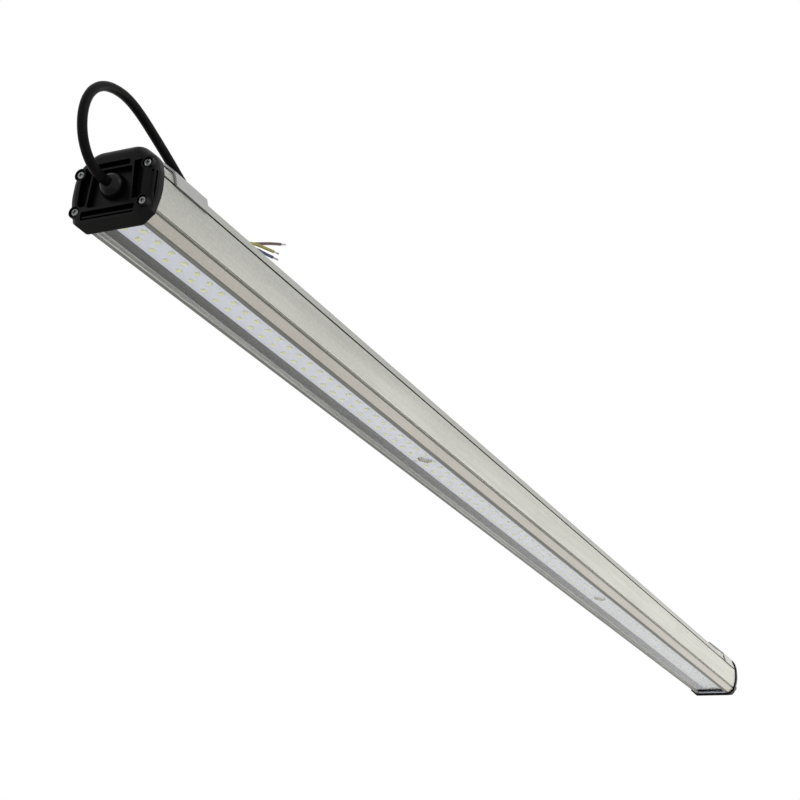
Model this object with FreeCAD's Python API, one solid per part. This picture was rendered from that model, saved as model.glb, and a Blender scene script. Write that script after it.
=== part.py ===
import FreeCAD, Part
import math
import os
from FreeCAD import Vector

# A surface-mounted linear light: an aluminium extrusion with the lamp boards in its bottom channel,
# moulded end caps, two clip-on ceiling brackets and a free supply cord out of one end.
# Millimetres. X runs along the light from the cord end, Z is up towards the ceiling.
# Inside this file heights are measured from a level close under the foot of the extrusion, and save()
# then drops everything so that the origin lies at the ceiling, midway between the two bracket holes.

# Overall lengths along X
overall_length = 1500.0
cap_depth = 11.0
gasket_thickness = 1.0

# Outside of the extrusion, right half of its section, as Y and Z of each corner;
# the corner of the foot lies foot_margin past the side of the channel
foot_margin, foot_z = 0.5, 1.5
chamfer_half, chamfer_z = 30.0, 7.6
belly_half, belly_z = 33.3, 20.5
waist_half, waist_z = 32.6, 35.0
shoulder_half, shoulder_z = 30.2, 43.1
crown_half, crown_z = 15.8, 55.0
foot_round, chamfer_round, belly_round = 0.6, 1.2, 40.0
waist_round, shoulder_round, crown_round = 12.0, 6.0, 4.0

# Inside of the extrusion
wall = 1.8
web_thickness = 2.2
chamber_floor_round = 1.0
mouth_half = 19.6
channel_half = 22.4
lip_thickness = 1.5
keeper_height = 1.0
keeper_reach = 1.2
recess = 9.0
clip_groove_width, clip_groove_depth = 1.7, 1.5
trim_groove_width, trim_groove_depth = 2.4, 1.0

# Outside of the end caps, as overhangs past the extrusion
cap_drop, cap_overhang_chamfer = 3.0, 2.3
cap_overhang_side, cap_overhang_slope, cap_overhang_top = 1.7, 2.8, 1.7
cap_foot_draft = 2.7
cap_face_round = 7.5
cap_foot_round, cap_belly_round = 3.0, 40.0
cap_waist_round, cap_shoulder_round, cap_crown_round = 18.0, 14.0, 16.0
grip_width, grip_depth, grip_low, grip_high = 1.6, 1.8, 14.6, 34.0
grip_angles = [38.0, 62.0]

# Sunk panel and cored pockets in the face of the end caps
cap_panel_low, cap_panel_high = 11.8, 39.2
cap_panel_half_low, cap_panel_half_high = 17.6, 15.6
cap_panel_depth = 4.0
cap_panel_round = 2.0
cap_ridge_width = 1.4
pocket_depth, pocket_round = 5.0, 1.0
side_pocket_half, side_pocket_low, side_pocket_high = 25.8, 13.4, 42.6
top_pocket_half, top_pocket_high = 13.2, 44.8
foot_pocket_half, foot_pocket_low, foot_pocket_high = 21.6, 3.0, 9.6
foot_rib_z, foot_rib_width, foot_rib_sink = 4.9, 1.3, 1.0
cap_back_pocket, cap_back_margin = 2.2, 1.5
boss_radius, boss_sink = 4.6, 2.4
gasket_inset = 0.3

# Cap screws
screw_half_spacing, screw_low, screw_high = 27.3, 10.8, 39.3
screw_radius, screw_head_radius, screw_head_height = 1.4, 3.0, 2.2
screw_head_round = 1.2
screw_head_play = 0.7
screw_grip = 14.0
screw_port_radius, screw_port_wall = 1.45, 1.95
screw_clearance_radius = 1.7
cross_length, cross_width, cross_depth = 3.0, 0.8, 1.2

# Clear cover in the mouth of the channel
cover_thickness = 2.0
cover_play = 0.2

# Lamp boards
board_count = 3
board_width, board_thickness = 25.0, 1.6
board_end_gap, board_joint_gap = 2.0, 1.0
led_length, led_width, led_height = 3.5, 2.8, 0.6
led_pitch, led_first, led_margin = 16.9, 5.5, 2.0
led_row_half = 5.2
link_wire_radius, link_hang, link_clear = 0.7, 2.0, 0.4
link_from_y, link_to_y = 2.2, -3.5
link_pair_spacing = 2.6

# Ceiling brackets
bracket_length, bracket_from_rim = 41.0, 14.5
bracket_sheet, bracket_side_gap, bracket_slope_gap = 1.5, 0.2, 1.4
bracket_screw_room = 6.1
bracket_bend = 1.5
bracket_hole_radius = 2.75
hook_play, hook_round = 0.3, 0.5

# Cord, its boot and its stripped end
cord_radius = 3.5
cord_axis_z = 26.9
boot_length, boot_base_radius, boot_tip_radius = 9.3, 9.6, 4.7
boot_base_straight = 0.8
boot_neck_radius, boot_flange_radius, boot_flange_thickness = 6.0, 8.5, 2.0
slide_play = 0.05
tail_inside = 22.0
core_radius, inner_core_radius = 1.2, 0.9
core_circle = 1.9
tip_radius, tip_length = 0.7, 8.0

# Supply parts inside the upper chamber, with distances from the near end of the extrusion
terminal_start, terminal_length, terminal_width, terminal_height = 46.0, 20.0, 28.0, 15.0
terminal_pole_pitch, terminal_entry_z = 8.0, 7.0
terminal_entry_radius, terminal_entry_depth = 1.7, 8.0
terminal_wire_reach = 5.6
terminal_screw_radius, terminal_screw_depth = 2.1, 5.0
driver_start, driver_length, driver_width, driver_height = 120.0, 220.0, 34.0, 24.0
driver_ear, driver_ear_thickness, driver_round = 12.0, 2.0, 2.0
driver_screw_radius, driver_screw_head_radius, driver_screw_head = 1.6, 3.2, 2.0
driver_entry_pitch = 5.6
lead_radius = 1.2
earth_start, earth_offset = 90.0, 16.0
earth_lug_radius, earth_lug_thickness, earth_crimp = 4.2, 0.8, 0.6
feed_from_driver, feed_hole_radius, feed_spread = 30.0, 4.0, 1.8

# Shares of a run: where a lead leaves straight and where it comes in straight, how far a lamp lead runs
# out and how far it drops, how long the slant of an inner core is, and how much of the shorter run
# an arc takes
lead_leaves, lead_arrives = 0.35, 0.65
feed_runs, feed_drops = 0.5, 0.45
core_slant = 0.5
arc_share = 0.45

# How far a cut runs past the face that it opens
overrun = 2.0

# Places that follow from the sizes above
rim = overall_length / 2 - cap_depth - gasket_thickness
near = -rim
foot_half = channel_half + foot_margin
board_face_z = foot_z + recess
web_z = board_face_z + board_thickness
chamber_z = web_z + web_thickness
lip_z = foot_z + lip_thickness
cover_top = lip_z + cover_play + cover_thickness
bracket_top = crown_z + bracket_screw_room + bracket_sheet
cap_back = near - gasket_thickness
cap_face = cap_back - cap_depth
panel_face = cap_face + cap_panel_depth


# Section drawing: a line is a point and a unit direction in Y and Z
def line(p, q):
    length = math.dist(p, q)
    return p, ((q[0] - p[0]) / length, (q[1] - p[1]) / length)


def shifted(edge, distance):
    (y, z), (dy, dz) = edge
    return (y + dz * distance, z - dy * distance), (dy, dz)


def meet(first, second):
    (ay, az), (ady, adz) = first
    (by, bz), (bdy, bdz) = second
    cross = ady * bdz - adz * bdy
    t = ((by - ay) * bdz - (bz - az) * bdy) / cross
    return ay + ady * t, az + adz * t


def level(z):
    return (0, z), (1, 0)


def corners(edges):
    return [meet(a, b) for a, b in zip(edges, edges[1:])]


def mirrored(half):
    return half + [(-y, z) for y, z in reversed(half)]


foot = (foot_half, foot_z)
chamfer = (chamfer_half, chamfer_z)
belly = (belly_half, belly_z)
waist = (waist_half, waist_z)
shoulder = (shoulder_half, shoulder_z)
crown = (crown_half, crown_z)
outline_edges = [
    line((0, foot_z), foot), line(foot, chamfer), line(chamfer, belly), line(belly, waist),
    line(waist, shoulder), line(shoulder, crown), line(crown, (0, crown_z)),
]
outline_rounds = [foot_round, chamfer_round, belly_round, waist_round, shoulder_round, crown_round]
cap_offsets = [cap_drop, cap_overhang_chamfer, cap_overhang_side, cap_overhang_side, cap_overhang_side,
               cap_overhang_slope, cap_overhang_top]
cap_rounds = [cap_foot_round, 0, cap_belly_round, cap_waist_round, cap_shoulder_round, cap_crown_round]


def outline(offsets):
    return mirrored(corners([shifted(e, d) for e, d in zip(outline_edges, offsets)]))


def both_sides(rounds):
    return rounds + rounds[::-1]


def side_wall(edge, inset, z):
    """Half width of the section at height z, inset from one of its outer edges."""
    return meet(shifted(edge, -inset), level(z))[0]


# Wires, prisms and tubes
def rounded(points, cuts, closed):
    """Wire of straight runs joined by tangent arcs that start the given distances from each corner."""
    count = len(points)
    starts, ends, edges = list(points), list(points), []
    for i in range(count):
        if cuts[i] > 0:
            corner = points[i]
            back = (points[i - 1] - corner).normalize()
            ahead = (points[(i + 1) % count] - corner).normalize()
            half = back.getAngle(ahead) / 2
            starts[i] = corner + back * cuts[i]
            ends[i] = corner + ahead * cuts[i]
            radius = cuts[i] * math.tan(half)
            inward = (back + ahead).normalize()
            middle = corner + inward * (radius / math.sin(half) - radius)
            edges.append((i, Part.Arc(starts[i], middle, ends[i]).toShape()))
    arcs = dict(edges)
    chain = []
    for i in range(count):
        if i in arcs:
            chain.append(arcs[i])
        if closed or i < count - 1:
            after = starts[(i + 1) % count]
            if ends[i].distanceToPoint(after) > 1e-6:
                chain.append(Part.LineSegment(ends[i], after).toShape())
    return Part.Wire(chain)


def section_wire(points, rounds, x):
    """Closed wire with rounded corners, each round kept within the two edges beside it."""
    corner_points = [Vector(x, y, z) for y, z in points]
    count = len(points)
    cuts = []
    for i in range(count):
        back = corner_points[i - 1] - corner_points[i]
        ahead = corner_points[(i + 1) % count] - corner_points[i]
        cuts.append(rounds[i] / math.tan(back.getAngle(ahead) / 2))
    fit = [1.0] * count
    for i in range(count):
        after = (i + 1) % count
        wanted = cuts[i] + cuts[after]
        room = corner_points[i].distanceToPoint(corner_points[after])
        if wanted > room:
            fit[i] = min(fit[i], room / wanted)
            fit[after] = min(fit[after], room / wanted)
    return rounded(corner_points, [c * f for c, f in zip(cuts, fit)], True)


def prism(points, x0, x1, rounds=None):
    wire = section_wire(points, rounds or [0] * len(points), x0)
    return Part.Face(wire).extrude(Vector(x1 - x0, 0, 0))


def box(x0, x1, y0, y1, z0, z1):
    return Part.makeBox(x1 - x0, y1 - y0, z1 - z0, Vector(x0, y0, z0))


def rod(radius, x0, x1, y, z):
    return Part.makeCylinder(radius, x1 - x0, Vector(x0, y, z), Vector(1, 0, 0))


def post(radius, z0, z1, x, y):
    return Part.makeCylinder(radius, z1 - z0, Vector(x, y, z0), Vector(0, 0, 1))


def tube(points, radius, label=None):
    """Round tube along straight runs joined by arcs as large as the runs allow."""
    route = [Vector(*p) for p in points]
    runs = [a.distanceToPoint(b) for a, b in zip(route, route[1:])]
    cuts = [0] + [arc_share * min(a, b) for a, b in zip(runs, runs[1:])] + [0]
    path = rounded(route, cuts, False)
    ring = Part.Circle(route[0], (route[1] - route[0]).normalize(), radius).toShape()
    solid = path.makePipeShell([Part.Wire([ring])], True, False)
    if label:
        print(label, "length", round(path.Length, 1), "volume ratio",
              round(solid.Volume / (math.pi * radius ** 2 * path.Length), 4))
        print("   radii", [round(e.Curve.Radius, 1) for e in path.Edges if hasattr(e.Curve, "Radius")])
    return solid


def far_copy(shape):
    """The same piece turned round for the far end."""
    return shape.rotated(Vector(0, 0, 0), Vector(0, 0, 1), 180)


def save(name, shape):
    dropped = shape.translated(Vector(0, 0, -bracket_top))
    dropped.exportStep(os.path.join("parts", name + ".step"))


# Extrusion
screw_places = [(side * screw_half_spacing, z) for side in (-1, 1) for z in (screw_low, screw_high)]
chamber_edges = [level(chamber_z)] + [shifted(e, -wall) for e in outline_edges[2:]]
chamber_outline = mirrored(corners(chamber_edges))
chamber_rounds = [chamber_floor_round, belly_round - wall, waist_round - wall, shoulder_round - wall,
                  crown_round - wall]
clip_groove_floor = side_wall(outline_edges[3], clip_groove_depth, waist_z)
clip_groove_low = waist_z - clip_groove_width / 2
clip_groove_high = waist_z + clip_groove_width / 2
trim_groove_high = chamfer_z + trim_groove_width
trim_groove_floor = side_wall(outline_edges[2], trim_groove_depth, (chamfer_z + trim_groove_high) / 2)
feed_x = near + driver_start + driver_length + feed_from_driver
driver_screw_xs = [near + driver_start - driver_ear / 2, near + driver_start + driver_length + driver_ear / 2]


def make_profile():
    body = prism(outline([0] * 7), near, rim, both_sides(outline_rounds))
    chamber = prism(chamber_outline, near, rim, both_sides(chamber_rounds))
    port_outer = screw_port_radius + screw_port_wall
    for side in (-1, 1):
        chamber = chamber.cut(rod(port_outer, near, rim, side * screw_half_spacing, screw_high))
        backing = sorted([side * (clip_groove_floor - wall), side * belly_half])
        chamber = chamber.cut(box(near, rim, *backing, clip_groove_low - wall, clip_groove_high + wall))
    keeper_z = cover_top + cover_play
    channel = prism(mirrored([
        (mouth_half, foot_z - overrun), (mouth_half, lip_z), (channel_half, lip_z), (channel_half, keeper_z),
        (channel_half - keeper_reach, keeper_z), (channel_half - keeper_reach, keeper_z + keeper_height),
        (channel_half, keeper_z + keeper_height), (channel_half, web_z),
    ]), near, rim)
    cuts = [chamber, channel]
    for side in (-1, 1):
        clip = sorted([side * clip_groove_floor, side * (belly_half + overrun)])
        cuts.append(box(near, rim, *clip, clip_groove_low, clip_groove_high))
        trim = sorted([side * trim_groove_floor, side * (belly_half + overrun)])
        cuts.append(box(near, rim, *trim, chamfer_z, trim_groove_high))
    for y, z in screw_places:
        cuts.append(rod(screw_port_radius, near, rim, y, z))
    cuts.append(post(feed_hole_radius, web_z, chamber_z, feed_x, 0))
    cuts += [post(driver_screw_radius + slide_play, web_z, chamber_z, x, 0) for x in driver_screw_xs]
    cuts.append(post(driver_screw_radius + slide_play, web_z, chamber_z, near + earth_start, earth_offset))
    return body.cut(cuts)


# End caps, drawn at the cord end with the back against the seal
def cap_shell():
    """Outer form: face rounded off over the flanks and the top, foot and chamfers flat to the front."""
    shell = prism(outline(cap_offsets), cap_back, cap_face, both_sides(cap_rounds))
    flank = meet(shifted(outline_edges[1], cap_overhang_chamfer),
                 shifted(outline_edges[2], cap_overhang_side))
    face_edges = [e for e in shell.Edges
                  if abs(e.BoundBox.XMax - cap_face) < 1e-6 and e.BoundBox.ZMin > flank[1] - 1e-6]
    shell = shell.makeFillet(cap_face_round, face_edges)
    foot_level = foot_z - cap_drop
    wedge = Part.Face(Part.makePolygon([
        Vector(cap_back, -belly_half, foot_level), Vector(cap_face, -belly_half, foot_level),
        Vector(cap_face, -belly_half, foot_level + cap_foot_draft), Vector(cap_back, -belly_half, foot_level),
    ])).extrude(Vector(0, 2 * belly_half, 0))
    return shell.cut(wedge)


def pocket(points, depth, round_off):
    return prism(points, cap_face - overrun, cap_face + depth, [round_off] * len(points))


def rectangle(half, low, high):
    return mirrored([(half, low), (half, high)])


def ridge_half(z):
    """Half width of the ridge round the panel at height z."""
    side = line((cap_panel_half_low, cap_panel_low), (cap_panel_half_high, cap_panel_high))
    return meet(shifted(side, cap_ridge_width), level(z))[0]


def face_pockets():
    flank = pocket([
        (ridge_half(side_pocket_low), side_pocket_low), (side_pocket_half, side_pocket_low),
        (side_pocket_half, side_pocket_high), (ridge_half(side_pocket_high), side_pocket_high),
    ], pocket_depth, pocket_round)
    below = pocket(rectangle(foot_pocket_half, foot_pocket_low, foot_pocket_high), pocket_depth, pocket_round)
    rib = box(cap_face + foot_rib_sink, cap_face + pocket_depth, -foot_pocket_half, foot_pocket_half,
              foot_rib_z, foot_rib_z + foot_rib_width)
    above = pocket(rectangle(top_pocket_half, cap_panel_high + cap_ridge_width, top_pocket_high),
                   pocket_depth, pocket_round)
    other_flank = flank.mirror(Vector(0, 0, 0), Vector(0, 1, 0))
    bosses = [rod(boss_radius, cap_face - overrun, cap_back, y, z) for y, z in screw_places]
    return [below.cut(rib), above, flank.cut(bosses), other_flank.cut(bosses)]


def grip_slots():
    """Upright slots in the rounded flanks of the face, each sunk square to the round."""
    flank = side_wall(outline_edges[3], -cap_overhang_side, (grip_low + grip_high) / 2)
    slot = box(-overrun, grip_depth, -grip_width / 2, grip_width / 2, grip_low, grip_high)
    slots = []
    for angle in grip_angles:
        x = cap_face + cap_face_round * (1 - math.cos(math.radians(angle)))
        y = flank - cap_face_round * (1 - math.sin(math.radians(angle)))
        for side in (-1, 1):
            turned = slot.rotated(Vector(0, 0, 0), Vector(0, 0, 1), -side * angle)
            slots.append(turned.translated(Vector(x, side * y, 0)))
    return slots


def make_cap():
    bosses = [rod(boss_radius, cap_face, cap_back, y, z) for y, z in screw_places]
    body = cap_shell().fuse(bosses)
    panel = pocket(mirrored([(cap_panel_half_low, cap_panel_low), (cap_panel_half_high, cap_panel_high)]),
                   cap_panel_depth, cap_panel_round)
    half = cap_panel_half_high - cap_back_margin
    hollow = box(cap_back - cap_back_pocket, cap_back + overrun, -half, half,
                 chamber_z + cap_back_margin, cap_panel_high - cap_back_margin)
    holes = [rod(screw_clearance_radius, cap_face - overrun, cap_back + overrun, y, z)
             for y, z in screw_places]
    head_room = screw_head_radius + screw_head_play
    holes += [rod(head_room, cap_face - overrun, cap_face + boss_sink, y, z) for y, z in screw_places]
    return body.cut([panel, hollow] + face_pockets() + grip_slots() + holes).removeSplitter()


def make_gasket():
    plate = prism(outline([d - gasket_inset for d in cap_offsets]), cap_back, near, both_sides(cap_rounds))
    cuts = [box(cap_back - overrun, near + overrun, -cap_panel_half_high, cap_panel_half_high, chamber_z,
                cap_panel_high)]
    cuts += [rod(screw_clearance_radius, cap_back - overrun, near + overrun, y, z) for y, z in screw_places]
    return plate.cut(cuts)


def make_cap_screws():
    """Pan heads with a cross recess, sunk in the bosses."""
    seat = cap_face + boss_sink
    top = seat - screw_head_height
    screws = []
    for y, z in screw_places:
        shank = rod(screw_radius, seat, near + screw_grip, y, z)
        head = rod(screw_head_radius, top, seat, y, z)
        head = head.makeFillet(screw_head_round, [e for e in head.Edges if abs(e.BoundBox.XMax - top) < 1e-6])
        across, along = cross_length / 2, cross_width / 2
        recess_arms = [box(top - overrun, top + cross_depth, y - across, y + across, z - along, z + along),
                       box(top - overrun, top + cross_depth, y - along, y + along, z - across, z + across)]
        screws.append(head.fuse(shank).cut(recess_arms).removeSplitter())
    return Part.Compound(screws)


# Clear cover, boards and lamps
def make_cover():
    half = channel_half - cover_play
    return box(near, rim, -half, half, lip_z, lip_z + cover_thickness)


board_length = (2 * rim - 2 * board_end_gap - (board_count - 1) * board_joint_gap) / board_count
led_per_row = int((board_length - led_first - led_margin - led_pitch / 2) / led_pitch) + 1


def board_start(i):
    return near + board_end_gap + i * (board_length + board_joint_gap)


def make_board(i):
    x = board_start(i)
    half = board_width / 2
    return box(x, x + board_length, -half, half, board_face_z, web_z)


def make_leds(i):
    """Two rows of lamps, one half a pitch behind the other, as many as the board has room for."""
    lamps = []
    for row, y in enumerate((-led_row_half, led_row_half)):
        for n in range(led_per_row):
            x = board_start(i) + led_first + (n + row / 2) * led_pitch
            lamps.append(box(x - led_length / 2, x + led_length / 2, y - led_width / 2, y + led_width / 2,
                             board_face_z - led_height, board_face_z))
    return Part.Compound(lamps)


def make_link(i):
    """Two short slanting wires across a joint, from behind its last lamp to before its first."""
    beside = led_length / 2 + link_wire_radius + link_clear
    last_lamp = board_start(i) + led_first + (led_per_row - 0.5) * led_pitch
    start = last_lamp - beside
    end = board_start(i + 1) + led_first - beside
    low = board_face_z - link_hang
    wires = []
    for y in (-link_pair_spacing / 2, link_pair_spacing / 2):
        wires.append(tube([
            (start, y + link_from_y, board_face_z), (start, y + link_from_y, low),
            (end, y + link_to_y, low), (end, y + link_to_y, board_face_z),
        ], link_wire_radius))
    return Part.Compound(wires)


# Ceiling brackets: sheet metal bent over the shoulders, with its lower edges hooked into the clip grooves
def make_bracket():
    lean, slope = outline_edges[4], outline_edges[5]
    under = ((0, bracket_top - bracket_sheet), (-1, 0))
    inside = [shifted(lean, bracket_side_gap), shifted(slope, bracket_slope_gap), under]
    outside = [shifted(edge, bracket_sheet) for edge in inside]
    hook_low = clip_groove_low + hook_play
    hook_high = clip_groove_high - hook_play
    hook_tip = clip_groove_floor + hook_play
    outer = corners([level(hook_low)] + outside)
    inner = corners([level(hook_high)] + inside)
    half = [(hook_tip, hook_low)] + outer
    back = inner[::-1] + [(hook_tip, hook_high)]
    right = half + [(-y, z) for y, z in reversed(half)]
    left = [(-y, z) for y, z in reversed(back)]
    big = bracket_bend + bracket_sheet
    half_rounds = [0, hook_round, big, big]
    back_rounds = [bracket_bend, bracket_bend, 0, 0]
    points = right + left + back
    rounds = half_rounds + half_rounds[::-1] + back_rounds[::-1] + back_rounds
    start = near + bracket_from_rim
    sheet = prism(points, start, start + bracket_length, rounds)
    return sheet.cut(post(bracket_hole_radius, crown_z, bracket_top + overrun, start + bracket_length / 2, 0))


# Cord route as X from the near end of the extrusion, Y, and Z
cord_route = [
    (-17.3, 0, 26.9), (-26.5, 0, 26.9), (-35.4, 0, 30.1), (-43.1, 0, 36.6), (-48.9, 0, 45.9),
    (-51.8, 0, 58.6), (-50.4, 0, 71.5), (-44.4, 0, 82.6), (-34.5, 0, 90.8), (-21.5, 0, 95.2),
    (-7.5, 0, 96.2), (8.0, 0, 92.9), (27.0, 0, 86.0), (50.0, 0, 77.0), (72.0, -0.5, 66.6),
    (92.0, -2.5, 60.2), (112.0, -5.0, 58.9), (132.0, -5.0, 58.9),
]
core_routes = {
    "brown": [(132.0, -5.0, 60.8), (142.0, -5.0, 60.8), (154.0, -4.6, 64.4), (170.0, -4.6, 72.4),
              (184.0, -4.6, 79.6), (197.5, -4.6, 85.6)],
    "earth": [(132.0, -6.65, 57.95), (139.5, -6.65, 57.95), (147.5, -7.5, 61.4), (157.0, -7.6, 65.4),
              (169.5, -7.5, 68.6), (184.2, -7.4, 72.2)],
    "blue": [(132.0, -3.35, 57.95), (143.0, -3.35, 57.95), (155.0, -3.1, 62.2), (167.0, -3.2, 66.6),
             (179.0, -3.4, 68.4), (190.0, -3.5, 70.7)],
}


def from_rim(points):
    return [(near + x, y, z) for x, y, z in points]


def make_boot():
    """Rubber boot: dome outside, neck through the cap and a flange behind it."""
    panel_back = cap_back - cap_back_pocket
    tip = panel_face - boot_length
    bore = cord_radius + slide_play
    dome_start = panel_face - boot_base_straight
    reach = dome_start - tip
    drop = boot_base_radius - boot_tip_radius
    dome_radius = (reach ** 2 + drop ** 2) / (2 * drop)
    half_turn = math.acos((dome_radius - drop) / dome_radius) / 2
    swell = Vector(dome_start - dome_radius * math.sin(half_turn), 0,
                   boot_base_radius - dome_radius * (1 - math.cos(half_turn)))
    neck = boot_neck_radius - slide_play
    flange_back = panel_back + boot_flange_thickness
    a = Vector(tip, 0, boot_tip_radius)
    b = Vector(dome_start, 0, boot_base_radius)
    rest = [b] + [Vector(x, 0, r) for x, r in (
        (panel_face, boot_base_radius), (panel_face, neck), (panel_back, neck),
        (panel_back, boot_flange_radius), (flange_back, boot_flange_radius), (flange_back, bore), (tip, bore),
    )] + [a]
    edges = [Part.Arc(a, swell, b).toShape()]
    edges += [Part.LineSegment(p, q).toShape() for p, q in zip(rest, rest[1:])]
    turned = Part.Face(Part.Wire(edges)).revolve(Vector(0, 0, 0), Vector(1, 0, 0), 360)
    return turned.translated(Vector(0, 0, cord_axis_z))


def make_tip(points):
    end, before = Vector(*points[-1]), Vector(*points[-2])
    return Part.makeCylinder(tip_radius, tip_length, end, (end - before).normalize())


# Supply parts on the web inside the chamber
def pole_y(pole):
    return (pole - 1) * terminal_pole_pitch


terminal_x = near + terminal_start
terminal_wire_z = chamber_z + terminal_entry_z


def make_terminal_block():
    half = terminal_width / 2
    top = chamber_z + terminal_height
    body = box(terminal_x, terminal_x + terminal_length, -half, half, chamber_z, top)
    cuts = []
    for pole in range(3):
        y = pole_y(pole)
        for start in (terminal_x, terminal_x + terminal_length - terminal_entry_depth):
            cuts.append(rod(terminal_entry_radius, start, start + terminal_entry_depth, y, terminal_wire_z))
            screw_x = start + terminal_entry_depth / 2
            cuts.append(post(terminal_screw_radius, top - terminal_screw_depth, top, screw_x, y))
    return body.cut(cuts)


def make_inner_cores():
    """The three cores of the cord, from the end of its sheath into the terminal block."""
    start = near + tail_inside
    reach = terminal_x + terminal_wire_reach
    middle = (start + terminal_x) / 2
    bend = core_slant * (terminal_x - start) / 2
    cores = []
    for pole in range(3):
        y = (pole - 1) * core_circle
        cores.append(tube([
            (start, y, cord_axis_z), (middle - bend, y, cord_axis_z),
            (middle + bend, pole_y(pole), terminal_wire_z), (reach, pole_y(pole), terminal_wire_z),
        ], inner_core_radius))
    return Part.Compound(cores)


def make_driver():
    x0 = near + driver_start
    half = driver_width / 2
    case = box(x0, x0 + driver_length, -half, half, chamber_z, chamber_z + driver_height)
    upper = [e for e in case.Edges if e.BoundBox.ZMin > chamber_z + driver_height - 1e-6]
    case = case.makeFillet(driver_round, upper)
    ear_top = chamber_z + driver_ear_thickness
    ears = [box(x, x + driver_ear, -driver_ear / 2, driver_ear / 2, chamber_z, ear_top)
            for x in (x0 - driver_ear, x0 + driver_length)]
    holes = [post(driver_screw_radius + slide_play, chamber_z - overrun, ear_top + overrun, x, 0)
             for x in driver_screw_xs]
    return case.fuse(ears).cut(holes).removeSplitter()


def fixing(x, y, seat):
    """Screw down into the web, its head on the given seat."""
    head = post(driver_screw_head_radius, seat, seat + driver_screw_head, x, y)
    return head.fuse(post(driver_screw_radius, web_z, seat, x, y))


def make_mains_leads():
    """Live and neutral from the terminal block to the end of the driver."""
    leave = terminal_x + terminal_length - terminal_wire_reach
    arrive = near + driver_start
    span = arrive - leave
    rise = chamber_z + driver_height / 2
    leads = []
    for pole in (0, 1):
        y = pole_y(pole)
        entry_y = (pole - 1) * driver_entry_pitch
        leads.append(tube([
            (leave, y, terminal_wire_z), (leave + lead_leaves * span, y, terminal_wire_z),
            (leave + lead_arrives * span, entry_y, rise), (arrive, entry_y, rise),
        ], lead_radius))
    return Part.Compound(leads)


def make_earth_lead():
    """Earth lead from the terminal block, crimped in a ring lug under the earth screw."""
    leave = terminal_x + terminal_length - terminal_wire_reach
    lug_z = chamber_z + earth_lug_thickness
    lug_x = near + earth_start
    ring = post(earth_lug_radius, chamber_z, lug_z, lug_x, earth_offset)
    hole = post(driver_screw_radius + slide_play, chamber_z - overrun, lug_z + overrun, lug_x, earth_offset)
    ring = ring.cut(hole)
    y = pole_y(2)
    span = lug_x - leave
    end_x = lug_x - earth_lug_radius + earth_crimp
    low = chamber_z + lead_radius
    lead = tube([
        (leave, y, terminal_wire_z), (leave + lead_leaves * span, y, terminal_wire_z),
        (leave + lead_arrives * span, earth_offset, low), (end_x, earth_offset, low),
    ], lead_radius)
    return lead.fuse(ring)


def make_lamp_leads():
    """Driver output, down through the web to the back of the first board."""
    x0 = near + driver_start + driver_length
    z = chamber_z + driver_height / 2
    run = feed_x - x0
    leads = []
    for y in (-feed_spread, feed_spread):
        leads.append(tube([
            (x0, y, z), (x0 + feed_runs * run, y, z), (feed_x, y, z - feed_drops * run), (feed_x, y, web_z),
        ], lead_radius))
    return Part.Compound(leads)


os.makedirs("parts", exist_ok=True)
save("extrusion", make_profile())
save("clear_cover", make_cover())
for index in range(board_count):
    save("led_board_%d" % (index + 1), make_board(index))
    save("led_lamps_%d" % (index + 1), make_leds(index))
for index in range(board_count - 1):
    save("board_link_%d" % (index + 1), make_link(index))

near_cap = make_cap()
cord_hole = rod(boot_neck_radius, cap_face - overrun, near, 0, cord_axis_z)
save("end_cap_cord", near_cap.cut(cord_hole))
save("end_cap_blind", far_copy(near_cap))
save("gasket_cord_end", make_gasket())
save("gasket_blind_end", far_copy(make_gasket()))
save("cap_screws_cord_end", make_cap_screws())
save("cap_screws_blind_end", far_copy(make_cap_screws()))

save("bracket_cord_end", make_bracket())
save("bracket_blind_end", far_copy(make_bracket()))

save("cable_boot", make_boot())
save("supply_cord", tube(from_rim(cord_route), cord_radius, "supply_cord"))
for colour, points in core_routes.items():
    save("core_" + colour, tube(from_rim(points), core_radius, "core_" + colour))
    save("tip_" + colour, make_tip(from_rim(points)))
cord_start = near + cord_route[0][0]
save("cord_tail", rod(cord_radius, cord_start, near + tail_inside, 0, cord_axis_z))

save("inner_cores", make_inner_cores())
save("terminal_block", make_terminal_block())
save("mains_leads", make_mains_leads())
save("earth_lead", make_earth_lead())
save("earth_screw", fixing(near + earth_start, earth_offset, chamber_z + earth_lug_thickness))
save("driver", make_driver())
ear_top = chamber_z + driver_ear_thickness
save("driver_screws", Part.Compound([fixing(x, 0, ear_top) for x in driver_screw_xs]))
save("lamp_leads", make_lamp_leads())
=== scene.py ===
import math

import bmesh
import bpy
from mathutils import Matrix, Vector


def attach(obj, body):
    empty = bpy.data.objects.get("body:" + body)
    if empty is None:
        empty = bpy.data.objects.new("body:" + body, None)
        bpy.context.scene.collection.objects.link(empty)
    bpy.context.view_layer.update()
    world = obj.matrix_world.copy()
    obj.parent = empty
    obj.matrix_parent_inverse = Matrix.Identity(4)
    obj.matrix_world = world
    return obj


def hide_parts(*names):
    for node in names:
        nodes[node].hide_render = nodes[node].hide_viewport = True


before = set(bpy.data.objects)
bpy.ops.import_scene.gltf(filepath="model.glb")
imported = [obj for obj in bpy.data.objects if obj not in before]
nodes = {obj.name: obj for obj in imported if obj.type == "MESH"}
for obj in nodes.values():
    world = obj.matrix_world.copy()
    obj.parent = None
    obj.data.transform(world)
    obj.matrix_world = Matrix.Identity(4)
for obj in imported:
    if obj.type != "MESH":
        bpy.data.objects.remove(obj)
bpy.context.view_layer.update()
scene = bpy.context.scene
scene.view_settings.view_transform = "Standard"
print("frame loaded:", len(nodes), "nodes")

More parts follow.
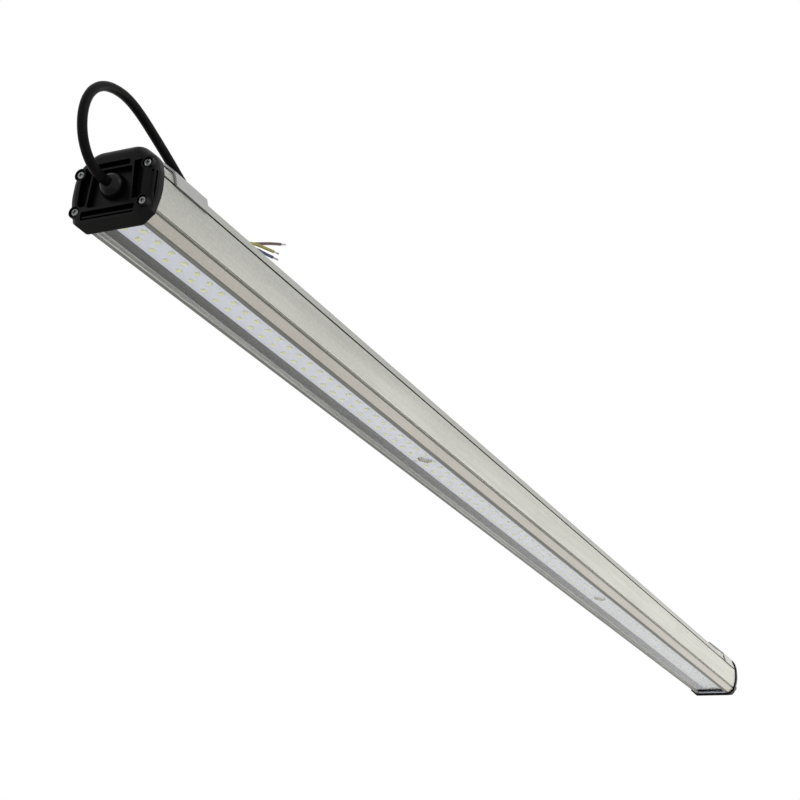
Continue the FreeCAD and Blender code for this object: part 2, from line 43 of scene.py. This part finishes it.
# camera below the light, looking up along it from the cord end
cameraView = {
    "place": (-1.4974, -0.6162, -0.5484),
    "turn": (111.6691, -4.2725, -64.36),  # degrees
    "lens": 72.0,
    "sensor": 36.0,
    "clipStart": 0.01,
}
cameraData = bpy.data.cameras.new("camera")
cameraData.lens = cameraView["lens"]
cameraData.sensor_width = cameraView["sensor"]
cameraData.clip_start = cameraView["clipStart"]
camera = bpy.data.objects.new("camera", cameraData)
camera.location = cameraView["place"]
camera.rotation_euler = [math.radians(a) for a in cameraView["turn"]]
scene.collection.objects.link(camera)
scene.camera = camera
print("camera set")


# small helpers for wiring materials
def startMaterial(name):
    material = bpy.data.materials.new(name)
    material.use_nodes = True
    return material, material.node_tree, material.node_tree.nodes["Principled BSDF"]


def addNode(tree, kind, inputs=None, **settings):
    node = tree.nodes.new(kind)
    for key, value in settings.items():
        setattr(node, key, value)
    for key, value in (inputs or {}).items():
        node.inputs[key].default_value = value
    return node


def onObject(tree, stretch=(1, 1, 1)):
    coords = addNode(tree, "ShaderNodeTexCoord")
    mapping = addNode(tree, "ShaderNodeMapping", {"Scale": stretch})
    tree.links.new(coords.outputs["Object"], mapping.inputs["Vector"])
    return mapping.outputs["Vector"]


def noiseOn(tree, size, stretch=(1, 1, 1), detail=2.0):  # size is one blotch, in metres
    texture = addNode(tree, "ShaderNodeTexNoise", {"Scale": 1 / size, "Detail": detail})
    tree.links.new(onObject(tree, stretch), texture.inputs["Vector"])
    return texture.outputs["Fac"]


def shades(tree, socket, dark, pale, reach):  # dark up to the first value of reach, pale from the second
    node = addNode(tree, "ShaderNodeValToRGB")
    for element, position, colour in zip(node.color_ramp.elements, reach, (dark, pale)):
        element.position = position
        element.color = (*colour, 1)
    tree.links.new(socket, node.inputs["Fac"])
    return node.outputs["Color"]


noiseReach = (0.3, 0.7)  # noise mostly lies between these


def spread(tree, socket, low, high):
    node = addNode(tree, "ShaderNodeMapRange", {
        "From Min": noiseReach[0], "From Max": noiseReach[1], "To Min": low, "To Max": high,
    })
    tree.links.new(socket, node.inputs["Value"])
    return node.outputs["Result"]


def calc(tree, operation, first, second):
    node = addNode(tree, "ShaderNodeMath", operation=operation)
    for i, value in enumerate((first, second)):
        if isinstance(value, (int, float)):
            node.inputs[i].default_value = value
        else:
            tree.links.new(value, node.inputs[i])
    return node.outputs["Value"]


def weighted(tree, first, second, share):  # share of the first, the rest of the second
    rest = calc(tree, "MULTIPLY", second, 1 - share)
    return calc(tree, "ADD", calc(tree, "MULTIPLY", first, share), rest)


def alongAxes(tree):
    split = addNode(tree, "ShaderNodeSeparateXYZ")
    tree.links.new(onObject(tree), split.inputs["Vector"])
    return split.outputs["X"], split.outputs["Y"], split.outputs["Z"]


def between(tree, socket, low, high):  # 1 between the two values, 0 outside
    above = calc(tree, "GREATER_THAN", socket, low)
    below = calc(tree, "LESS_THAN", socket, high)
    return calc(tree, "MULTIPLY", above, below)


def zoneMask(tree, zone):  # 1 within a zone's half widths and heights, on both sides of the light
    y, z = alongAxes(tree)[1:]
    across = between(tree, calc(tree, "ABSOLUTE", y, 0.0), *zone["across"])
    return calc(tree, "MULTIPLY", across, between(tree, z, *zone["height"]))


def whereMasked(tree, mask, change):  # 1 outside the mask, 1 + change within it
    return calc(tree, "ADD", calc(tree, "MULTIPLY", mask, change), 1.0)


def mixColours(tree, factor, first, second):
    mix = addNode(tree, "ShaderNodeMix", data_type="RGBA")
    tree.links.new(factor, mix.inputs["Factor"])
    for socket, colour in ((mix.inputs[6], first), (mix.inputs[7], second)):  # its two colour sockets
        if isinstance(colour, tuple):
            socket.default_value = (*colour, 1)
        else:
            tree.links.new(colour, socket)
    return mix.outputs[2]


def mixShaders(tree, factor, first, second, output):
    mix = addNode(tree, "ShaderNodeMixShader")
    tree.links.new(factor, mix.inputs["Fac"])
    tree.links.new(first, mix.inputs[1])
    tree.links.new(second, mix.inputs[2])
    tree.links.new(mix.outputs["Shader"], tree.nodes[output].inputs["Surface"])


def raised(tree, shader, socket, depth):
    node = addNode(tree, "ShaderNodeBump", {"Strength": 1.0, "Distance": depth})
    tree.links.new(socket, node.inputs["Height"])
    tree.links.new(node.outputs["Normal"], shader.inputs["Normal"])


def dress(material, *names):
    for name in names:
        slots = nodes[name].data.materials
        slots.clear()
        slots.append(material)


# blasted and anodised aluminium: fine grain, faint draw lines along the profile, with painted shade and
# painted light in some zones
profileFinishAndPaintedShading = {
    "pale": (0.442, 0.442, 0.418),
    "dark": (0.378, 0.378, 0.355),
    "toneReach": (0.38, 0.62),
    "grain": 0.0016,
    "grainDetail": 3.0,
    "grainShare": 0.6,  # of the tone, the rest is cloud
    "cloud": 0.05,
    "cloudStretch": (0.3, 1, 1),
    "drawLine": 0.0012,
    "drawLineStretch": (0.01, 1, 1),
    "drawLineRelief": 0.35,
    "roughness": (0.48, 0.58),
    "depth": 0.00004,
    "paintedShadeAndLight": {  # painted shade: zones darkened where the profile lies in shade (lips, lip edge, channel web and its corner, trim groove, clip groove), and painted light on the top of the trim groove; half widths and heights of each zone, and how much of the plain tone it keeps
        "lip": {"across": (0.0, 0.04), "height": (-0.07, -0.06095), "keeps": 0.66},
        "lipEdge": {"across": (0.0229, 0.04), "height": (-0.06095, -0.0603), "keeps": 0.6},
        "web": {"across": (0.0, 0.0226), "height": (-0.0528, -0.049), "keeps": 0.36},
        "corner": {"across": (0.019, 0.0226), "height": (-0.0528, -0.0518), "keeps": 0.75},
        "groove": {"across": (0.027, 0.04), "height": (-0.0553, -0.0529), "keeps": 0.36},
        "grooveTop": {"across": (0.027, 0.04), "height": (-0.0529, -0.05255), "keeps": 2.0},
        "clip": {"across": (0.029, 0.04), "height": (-0.0285, -0.0267), "keeps": 0.5},
    },
    "wall": {  # sides of the lamp channel, streaked, duller than bare metal, and lifted 1.45 to 2.45 times as painted light
        "across": (0.019, 0.0226),
        "height": (-0.06095, -0.0528),
        "tones": (1.45, 2.45),
        "metal": 0.2,
    },
    "chamfer": {  # slopes beside the lips: warmer, and painted about 1.6 times lighter than the rest of the profile as painted light
        "across": (0.0229, 0.04),
        "height": (-0.0603, -0.0553),
        "dark": (0.61, 0.585, 0.54),
        "pale": (0.70, 0.673, 0.625),
    },
}


def makeProfileFinishAndPaintedShading():
    f = profileFinishAndPaintedShading
    chamfer = f["chamfer"]
    material, tree, shader = startMaterial("anodisedProfilePaintedShading")
    grain = noiseOn(tree, f["grain"], detail=f["grainDetail"])
    lines = noiseOn(tree, f["drawLine"], stretch=f["drawLineStretch"])
    cloud = noiseOn(tree, f["cloud"], stretch=f["cloudStretch"])
    tone = weighted(tree, grain, cloud, f["grainShare"])
    plain = shades(tree, tone, f["dark"], f["pale"], f["toneReach"])
    # painted light: the channel walls lifted well above the plain tone, along streaks
    wall = zoneMask(tree, f["wall"])
    streaksAndPaintedLight = calc(tree, "SUBTRACT", spread(tree, lines, *f["wall"]["tones"]), 1.0)
    share = whereMasked(tree, wall, streaksAndPaintedLight)
    # painted shade in each zone that keeps less than its plain tone, painted light in the one that keeps
    # more
    for zone in f["paintedShadeAndLight"].values():
        kept = whereMasked(tree, zoneMask(tree, zone), zone["keeps"] - 1)
        share = calc(tree, "MULTIPLY", share, kept)
    shaded = addNode(tree, "ShaderNodeVectorMath", operation="SCALE")
    tree.links.new(plain, shaded.inputs["Vector"])
    tree.links.new(share, shaded.inputs["Scale"])
    # painted light: the chamfer slopes take a lighter, warmer tone than the rest of the profile
    warm = shades(tree, tone, chamfer["dark"], chamfer["pale"], f["toneReach"])
    colour = mixColours(tree, zoneMask(tree, chamfer), shaded.outputs["Vector"], warm)
    tree.links.new(colour, shader.inputs["Base Color"])
    tree.links.new(spread(tree, lines, *f["roughness"]), shader.inputs["Roughness"])
    tree.links.new(whereMasked(tree, wall, f["wall"]["metal"] - 1), shader.inputs["Metallic"])
    relief = calc(tree, "ADD", grain, calc(tree, "MULTIPLY", lines, f["drawLineRelief"]))
    raised(tree, shader, relief, f["depth"])
    return material


dress(makeProfileFinishAndPaintedShading(), "extrusion")

# bent sheet of the ceiling brackets, rolled along its length
bracketFinish = {
    "pale": (0.40, 0.40, 0.395),
    "dark": (0.33, 0.33, 0.33),
    "toneReach": (0.36, 0.64),
    "rollLine": 0.0008,
    "rollLineStretch": (0.04, 1, 1),
    "rollLineDetail": 3.0,
    "rollLineShare": 0.5,  # of the tone, the rest is patches
    "patch": 0.012,
    "roughness": (0.34, 0.46),
    "depth": 0.00002,
}


def makeBracketFinish():
    f = bracketFinish
    material, tree, shader = startMaterial("bracketSheet")
    lines = noiseOn(tree, f["rollLine"], stretch=f["rollLineStretch"], detail=f["rollLineDetail"])
    tone = weighted(tree, lines, noiseOn(tree, f["patch"]), f["rollLineShare"])
    tree.links.new(shades(tree, tone, f["dark"], f["pale"], f["toneReach"]), shader.inputs["Base Color"])
    tree.links.new(spread(tree, lines, *f["roughness"]), shader.inputs["Roughness"])
    shader.inputs["Metallic"].default_value = 1.0
    raised(tree, shader, lines, f["depth"])
    return material


dress(makeBracketFinish(), "bracket_cord_end", "bracket_blind_end")

# what all moulded and plated pieces share: a fine texture and clouds many times its size
mouldedSet = {
    "toneReach": (0.35, 0.65),
    "textureDetail": 4.0,
    "cloudTimes": 14,
    "shine": 0.5,
}


def makeMoulded(name, f, metallic=0.0):
    m = mouldedSet
    material, tree, shader = startMaterial(name)
    texture = noiseOn(tree, f["texture"], detail=m["textureDetail"])
    cloud = noiseOn(tree, f["texture"] * m["cloudTimes"])
    tree.links.new(shades(tree, cloud, f["dark"], f["pale"], m["toneReach"]), shader.inputs["Base Color"])
    tree.links.new(spread(tree, texture, *f["roughness"]), shader.inputs["Roughness"])
    shader.inputs["Metallic"].default_value = metallic
    shader.inputs["Specular IOR Level"].default_value = f.get("shine", m["shine"])
    raised(tree, shader, texture, f["depth"])
    return material


# black moulded caps with a fine spark texture
capFinish = {
    "dark": (0.0008, 0.0008, 0.0009),
    "pale": (0.0016, 0.0016, 0.0017),
    "texture": 0.0007,
    "roughness": (0.30, 0.42),
    "depth": 0.00003,
    "shine": 0.1,
}
dress(makeMoulded("mouldedCap", capFinish), "end_cap_cord", "end_cap_blind")

# soft rubber of the boot and the seals
rubberFinish = {
    "dark": (0.0015, 0.0015, 0.0018),
    "pale": (0.003, 0.003, 0.0034),
    "texture": 0.0009,
    "roughness": (0.20, 0.30),
    "depth": 0.00002,
    "shine": 0.16,
    "paintedReflectionStrip": {  # painted reflection: a pale bluish strip where the seals meet the ends of the clear cover
        "across": (-0.001, 0.0222),
        "height": (-0.0606, -0.0574),
        "colour": (0.80, 0.83, 0.95),
    },
}
dress(makeMoulded("bootRubber", rubberFinish), "cable_boot")


def makeSealWithPaintedReflection():
    paintedReflectionStrip = rubberFinish["paintedReflectionStrip"]
    material = makeMoulded("sealRubberPaintedReflection", rubberFinish)
    tree = material.node_tree
    baseColour = tree.nodes["Principled BSDF"].inputs["Base Color"]
    rubber = baseColour.links[0].from_socket
    # painted reflection laid over the rubber where the seals meet the cover's ends
    tree.links.new(mixColours(tree, zoneMask(tree, paintedReflectionStrip), rubber, paintedReflectionStrip["colour"]), baseColour)
    return material


dress(makeSealWithPaintedReflection(), "gasket_cord_end", "gasket_blind_end")

# plated screws
screwFinish = {
    "dark": (0.10, 0.11, 0.115),
    "pale": (0.28, 0.29, 0.295),
    "texture": 0.0003,
    "roughness": (0.16, 0.30),
    "depth": 0.00001,
}
dress(makeMoulded("platedScrew", screwFinish, 1.0), "cap_screws_cord_end", "cap_screws_blind_end",
      "driver_screws", "earth_screw")

# supply parts hidden in the upper chamber
driverFinish = {
    "dark": (0.58, 0.58, 0.57),
    "pale": (0.66, 0.66, 0.64),
    "texture": 0.0008,
    "roughness": (0.38, 0.5),
    "depth": 0.00002,
}
dress(makeMoulded("driverCase", driverFinish), "driver")
terminalFinish = {
    "dark": (0.60, 0.58, 0.52),
    "pale": (0.68, 0.66, 0.60),
    "texture": 0.0006,
    "roughness": (0.3, 0.42),
    "depth": 0.00002,
}
dress(makeMoulded("terminalNylon", terminalFinish), "terminal_block")

# clear cover strip: light passes through it, the room shows on it at a flat angle
coverFinish = {
    "tint": (0.985, 0.99, 0.995),
    "bend": 1.2,
    "wipe": 0.02,
    "wipeStretch": (0.2, 1, 1),
    "roughness": (0.015, 0.06),
}


def makeCoverFinish():
    f = coverFinish
    material, tree, shader = startMaterial("clearCover")
    shader.inputs["Base Color"].default_value = (*f["tint"], 1)
    shader.inputs["IOR"].default_value = f["bend"]
    shader.inputs["Transmission Weight"].default_value = 1.0
    wipe = noiseOn(tree, f["wipe"], stretch=f["wipeStretch"])
    tree.links.new(spread(tree, wipe, *f["roughness"]), shader.inputs["Roughness"])
    path = addNode(tree, "ShaderNodeLightPath")
    clear = addNode(tree, "ShaderNodeBsdfTransparent")
    mixShaders(tree, path.outputs["Is Shadow Ray"], shader.outputs["BSDF"], clear.outputs["BSDF"],
               "Material Output")
    return material


dress(makeCoverFinish(), "clear_cover")

# white mask on the boards, with the copper fields under it just showing
boardFinish = {
    "mask": (0.63, 0.66, 0.73),
    "overCopper": (0.665, 0.69, 0.76),
    "fieldLength": 0.0169,
    "fieldWidth": 0.0104,
    "gap": 0.0004,
    "gapSoftness": 0.3,
    "grain": 0.002,
    "roughness": (0.28, 0.40),
    "depth": 0.00003,
}


def makeBoardFinish():
    f = boardFinish
    material, tree, shader = startMaterial("boardMask")
    overCopper = (*f["overCopper"], 1)
    fields = addNode(tree, "ShaderNodeTexBrick", {
        "Scale": 1.0,
        "Brick Width": f["fieldLength"],
        "Row Height": f["fieldWidth"],
        "Mortar Size": f["gap"],
        "Mortar Smooth": f["gapSoftness"],
        "Color1": overCopper,
        "Color2": overCopper,
        "Mortar": (*f["mask"], 1),
    })
    tree.links.new(onObject(tree), fields.inputs["Vector"])
    tree.links.new(fields.outputs["Color"], shader.inputs["Base Color"])
    tree.links.new(spread(tree, noiseOn(tree, f["grain"]), *f["roughness"]), shader.inputs["Roughness"])
    raised(tree, shader, fields.outputs["Fac"], -f["depth"])
    return material


dress(makeBoardFinish(), "led_board_1", "led_board_2", "led_board_3")
print("CAD finishes set")

# lamps: a pale package with a yellow window sunk in its face
lampSet = {
    "length": 0.0038,
    "width": 0.0032,
    "height": 0.0009,
    "window": 0.00015,
    "sink": 0.00012,
    "sinkSlope": 0.6,
    "mergeWithin": 1e-6,
}
lampFinish = {
    "lampPackage": {
        "tone": (0.86, 0.87, 0.62),
        "keeps": 0.94,  # of the tone, in the darkest flecks
        "fleck": 0.0006,
        "detail": 2.0,
        "roughness": 0.35,
    },
    "lampPhosphor": {
        "tone": (0.79, 0.77, 0.22),
        "keeps": 0.9,
        "fleck": 0.0005,
        "detail": 4.0,
        "roughness": 0.22,
    },
}


def makeLampFinish(name):
    f = lampFinish[name]
    material, tree, shader = startMaterial(name)
    flecks = noiseOn(tree, f["fleck"], detail=f["detail"])
    dark = [c * f["keeps"] for c in f["tone"]]
    tree.links.new(shades(tree, flecks, dark, f["tone"], noiseReach), shader.inputs["Base Color"])
    shader.inputs["Roughness"].default_value = f["roughness"]
    return material


lampMaterials = [makeLampFinish(name) for name in ("lampPackage", "lampPhosphor")]  # package, then window


def addPiece(name, data):
    piece = bpy.data.objects.new(name, data)
    scene.collection.objects.link(piece)
    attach(piece, "root")
    return piece


def lampSeats(node):  # middle of each lamp's back, from a merged copy of the node's mesh
    bm = bmesh.new()
    bm.from_mesh(nodes[node].data)
    bmesh.ops.remove_doubles(bm, verts=bm.verts[:], dist=lampSet["mergeWithin"])
    left = set(bm.verts)
    seats = []
    while left:
        reached = [left.pop()]
        for vert in reached:
            for edge in vert.link_edges:
                other = edge.other_vert(vert)
                if other in left:
                    left.remove(other)
                    reached.append(other)
        xs, ys, zs = zip(*[v.co for v in reached])
        seats.append(Vector(((min(xs) + max(xs)) / 2, (min(ys) + max(ys)) / 2, max(zs))))
    bm.free()
    return sorted(seats, key=tuple)  # a set has no fixed order


def makeOneLamp():
    p = lampSet
    bm = bmesh.new()
    bmesh.ops.create_cube(bm, size=1.0, matrix=Matrix.Diagonal((p["length"], p["width"], p["height"], 1)))
    bmesh.ops.translate(bm, vec=(0, 0, -p["height"] / 2), verts=bm.verts[:])
    face = min(bm.faces, key=lambda f: f.calc_center_median().z)
    bmesh.ops.inset_region(bm, faces=[face], thickness=p["window"])
    bmesh.ops.inset_region(bm, faces=[face], thickness=p["sink"] * p["sinkSlope"], depth=-p["sink"])
    face.material_index = 1  # the window
    bm.normal_update()
    mesh = bpy.data.meshes.new("oneLamp")
    bm.to_mesh(mesh)
    bm.free()
    return mesh


def makeLampRows(number, lampMesh):
    node = "led_lamps_%d" % number
    rows = bmesh.new()
    for seat in lampSeats(node):
        before = len(rows.verts)
        rows.from_mesh(lampMesh)
        rows.verts.ensure_lookup_table()
        bmesh.ops.translate(rows, vec=seat, verts=rows.verts[before:])
    mesh = bpy.data.meshes.new("lampRows%d" % number)
    rows.to_mesh(mesh)
    rows.free()
    for material in lampMaterials:
        mesh.materials.append(material)
    piece = addPiece("lampRows%d" % number, mesh)
    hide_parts(node)


oneLamp = makeOneLamp()
for number in (1, 2, 3):
    makeLampRows(number, oneLamp)
bpy.data.meshes.remove(oneLamp)
print("lamps made")

# wires that bridge the board joints: one dark and one pale, side by side, with dull solder at their ends
linkFinish = {
    "slant": 0.6,
    "offset": 0.0022,
    "solderAbove": -0.0529,
    "solder": (0.06, 0.06, 0.065),
    "pale": (0.44, 0.35, 0.18),
    "fleck": 0.0008,
    "roughness": (0.3, 0.45),
    "first": {"node": "board_link_1", "start": -0.2518, "dark": (0.10, 0.035, 0.02)},
    "second": {"node": "board_link_2", "start": 0.2392, "dark": (0.04, 0.035, 0.03)},
}


def makeLinkFinish(name):
    f = linkFinish
    link = f[name]
    material, tree, shader = startMaterial(name + "Link")
    x, y, z = alongAxes(tree)
    slanted = calc(tree, "ADD", calc(tree, "MULTIPLY", x, f["slant"]), y)
    side = calc(tree, "GREATER_THAN", slanted, f["offset"] + f["slant"] * link["start"])
    wire = mixColours(tree, side, f["pale"], link["dark"])
    colour = mixColours(tree, calc(tree, "GREATER_THAN", z, f["solderAbove"]), wire, f["solder"])
    tree.links.new(colour, shader.inputs["Base Color"])
    tree.links.new(spread(tree, noiseOn(tree, f["fleck"]), *f["roughness"]), shader.inputs["Roughness"])
    dress(material, link["node"])


makeLinkFinish("first")
makeLinkFinish("second")

# supply cord, its three cores and their bare ends
cordSet = {
    "route": [
        (-0.7553, 0, -0.0357), (-0.7645, 0, -0.0357), (-0.7734, 0, -0.0325), (-0.7811, 0, -0.026),
        (-0.7869, 0, -0.0167), (-0.7898, 0, -0.004), (-0.7884, 0, 0.0089), (-0.7824, 0, 0.02),
        (-0.7725, 0, 0.0282), (-0.7595, 0, 0.0326), (-0.7455, 0, 0.0336), (-0.73, 0, 0.0303),
        (-0.711, 0, 0.0234), (-0.688, 0, 0.0144), (-0.666, -0.0005, 0.004), (-0.646, -0.0025, -0.0024),
        (-0.626, -0.005, -0.0037), (-0.606, -0.005, -0.0037),
    ],
    "length": 0.2641,
    "diameter": 0.007,
    "dark": (0.002, 0.002, 0.002),
    "pale": (0.0045, 0.0045, 0.0045),
    "roughness": (0.35, 0.48),
    "shine": 0.06,
}
coreSet = {
    "diameter": 0.0024,
    "roughness": (0.30, 0.43),
    "shine": 0.25,
}
cores = {
    "brown": {
        "route": [(-0.606, -0.005, -0.0018), (-0.596, -0.005, -0.0018), (-0.584, -0.0046, 0.0018),
                  (-0.568, -0.0046, 0.0098), (-0.554, -0.0046, 0.017), (-0.5405, -0.0046, 0.023)],
        "length": 0.0708,
        "dark": (0.045, 0.018, 0.010),
        "pale": (0.075, 0.03, 0.016),
    },
    "earth": {
        "route": [(-0.606, -0.00665, -0.00465), (-0.5985, -0.00665, -0.00465), (-0.5905, -0.0075, -0.0012),
                  (-0.581, -0.0076, 0.0028), (-0.5685, -0.0075, 0.006), (-0.5538, -0.0074, 0.0096)],
        "length": 0.0545,
        "dark": (0.20, 0.17, 0.012),
        "pale": (0.31, 0.27, 0.025),
    },
    "blue": {
        "route": [(-0.606, -0.00335, -0.00465), (-0.595, -0.00335, -0.00465), (-0.583, -0.0031, -0.0004),
                  (-0.571, -0.0032, 0.004), (-0.559, -0.0034, 0.0058), (-0.548, -0.0035, 0.0081)],
        "length": 0.0598,
        "dark": (0.015, 0.035, 0.11),
        "pale": (0.03, 0.068, 0.19),
    },
}
wireSet = {  # what the sheath and the cores share
    "cloud": 0.004,
    "toneReach": (0.35, 0.65),
    "fleck": 0.0006,
    "ringSteps": 6,
    "runSteps": 12,
}
tipFinish = {
    "dark": (0.20, 0.20, 0.20),
    "pale": (0.36, 0.36, 0.35),
    "texture": 0.0005,
    "roughness": (0.25, 0.4),
    "depth": 0.00002,
}


def makeWireFinish(name, tones, surface):
    w = wireSet
    material, tree, shader = startMaterial(name)
    cloud = noiseOn(tree, w["cloud"])
    colour = shades(tree, cloud, tones["dark"], tones["pale"], w["toneReach"])
    tree.links.new(colour, shader.inputs["Base Color"])
    roughness = spread(tree, noiseOn(tree, w["fleck"]), *surface["roughness"])
    tree.links.new(roughness, shader.inputs["Roughness"])
    shader.inputs["Specular IOR Level"].default_value = surface["shine"]
    return material


def makeCord(name, route, diameter, finish, node):
    curve = bpy.data.curves.new(name, "CURVE")
    curve.dimensions = "3D"
    curve.bevel_depth = diameter / 2
    curve.bevel_resolution = wireSet["ringSteps"]
    curve.use_fill_caps = True
    spline = curve.splines.new("NURBS")
    spline.points.add(len(route) - 1)
    for point, place in zip(spline.points, route):
        point.co = (*place, 1)
    spline.order_u = 3
    spline.use_endpoint_u = True
    spline.resolution_u = wireSet["runSteps"]
    curve.materials.append(finish)
    piece = addPiece(name, curve)
    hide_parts(node)
    return piece


sheath = makeWireFinish("cordSheath", cordSet, cordSet)
dress(sheath, "cord_tail")
flex = makeCord("supplyFlex", cordSet["route"], cordSet["diameter"], sheath, "supply_cord")
tinned = makeMoulded("tinnedStrands", tipFinish, 1.0)
insulation = {}
for name, core in cores.items():
    tip = "tip_" + name
    insulation[name] = makeWireFinish(name + "Insulation", core, coreSet)
    wire = makeCord(name + "Core", core["route"], coreSet["diameter"], insulation[name],
                    "core_" + name)
    dress(tinned, tip)
dress(insulation["brown"], "mains_leads", "lamp_leads", "inner_cores")
dress(insulation["earth"], "earth_lead")
print("cords made")

# pale floor well below the light, white further away, and an even room
stageSet = {
    "floorHeight": -2.8,
    "floorSize": 60.0,
    "floorColour": (0.58, 0.565, 0.53),
    "floorRoughness": 0.8,
    "fade": (4.4, 5.4),  # distances from the light between which the floor turns white
    "roomLight": 0.75,
    "roomColour": (0.97, 0.985, 1.0),
}


def whiteForSight(tree):  # 1 where the camera, metal or glass looks straight at the surface
    path = addNode(tree, "ShaderNodeLightPath")
    seen = calc(tree, "MAXIMUM", path.outputs["Is Glossy Ray"], path.outputs["Is Transmission Ray"])
    return calc(tree, "MAXIMUM", seen, path.outputs["Is Camera Ray"])


def makeFloor():
    s = stageSet
    bm = bmesh.new()
    bmesh.ops.create_grid(bm, x_segments=1, y_segments=1, size=s["floorSize"] / 2)
    bmesh.ops.translate(bm, vec=(0, 0, s["floorHeight"]), verts=bm.verts[:])
    mesh = bpy.data.meshes.new("floor")
    bm.to_mesh(mesh)
    bm.free()
    floor = bpy.data.objects.new("floor", mesh)
    scene.collection.objects.link(floor)
    material, tree, shader = startMaterial("floorPaper")
    shader.inputs["Base Color"].default_value = (*s["floorColour"], 1)
    shader.inputs["Roughness"].default_value = s["floorRoughness"]
    glow = addNode(tree, "ShaderNodeEmission")
    distance = addNode(tree, "ShaderNodeVectorMath", operation="LENGTH")
    tree.links.new(onObject(tree), distance.inputs[0])
    far = addNode(tree, "ShaderNodeMapRange", {"From Min": s["fade"][0], "From Max": s["fade"][1]})
    tree.links.new(distance.outputs["Value"], far.inputs["Value"])
    white = calc(tree, "MULTIPLY", far.outputs["Result"], whiteForSight(tree))
    mixShaders(tree, white, shader.outputs["BSDF"], glow.outputs["Emission"], "Material Output")
    mesh.materials.append(material)


def makeRoom():
    s = stageSet
    world = bpy.data.worlds.new("studio")
    scene.world = world
    world.use_nodes = True
    tree = world.node_tree
    light = tree.nodes["Background"]
    light.inputs["Color"].default_value = (*s["roomColour"], 1)
    light.inputs["Strength"].default_value = s["roomLight"]
    white = addNode(tree, "ShaderNodeBackground", {"Color": (1, 1, 1, 1), "Strength": 1.0})
    mixShaders(tree, whiteForSight(tree), light.outputs["Background"], white.outputs["Background"],
               "World Output")


makeFloor()
makeRoom()

# softboxes: one high beside the cord end, one low under it, one warm beyond the far end
lampBoxes = {
    "keyBox": {
        "place": (-0.6, -2.4, 1.6),
        "aim": (0, 0, -0.03),
        "size": 1.6,
        "power": 16.0,
        "mirrored": True,
        "colour": (1, 1, 1),
    },
    "lowBox": {
        "place": (-0.6, -0.3, -0.9),
        "aim": (-0.5, 0, -0.03),
        "size": 1.8,
        "power": 6.5,
        "mirrored": False,
        "colour": (1, 1, 1),
    },
    "farBox": {
        "place": (3.2, -1.9, 0.2),
        "aim": (0.3, 0, -0.03),
        "size": 2.6,
        "power": 30.0,
        "mirrored": True,
        "colour": (1, 0.97, 0.89),
    },
}
for name, box in lampBoxes.items():
    data = bpy.data.lights.new(name, "AREA")
    data.shape = "SQUARE"
    data.size = box["size"]
    data.energy = box["power"]
    data.color = box["colour"]
    softbox = bpy.data.objects.new(name, data)
    softbox.location = box["place"]
    away = Vector(box["place"]) - Vector(box["aim"])
    softbox.rotation_euler = away.to_track_quat("Z", "Y").to_euler()
    softbox.visible_glossy = box["mirrored"]
    softbox.visible_camera = False
    scene.collection.objects.link(softbox)
print("stage and lights set")
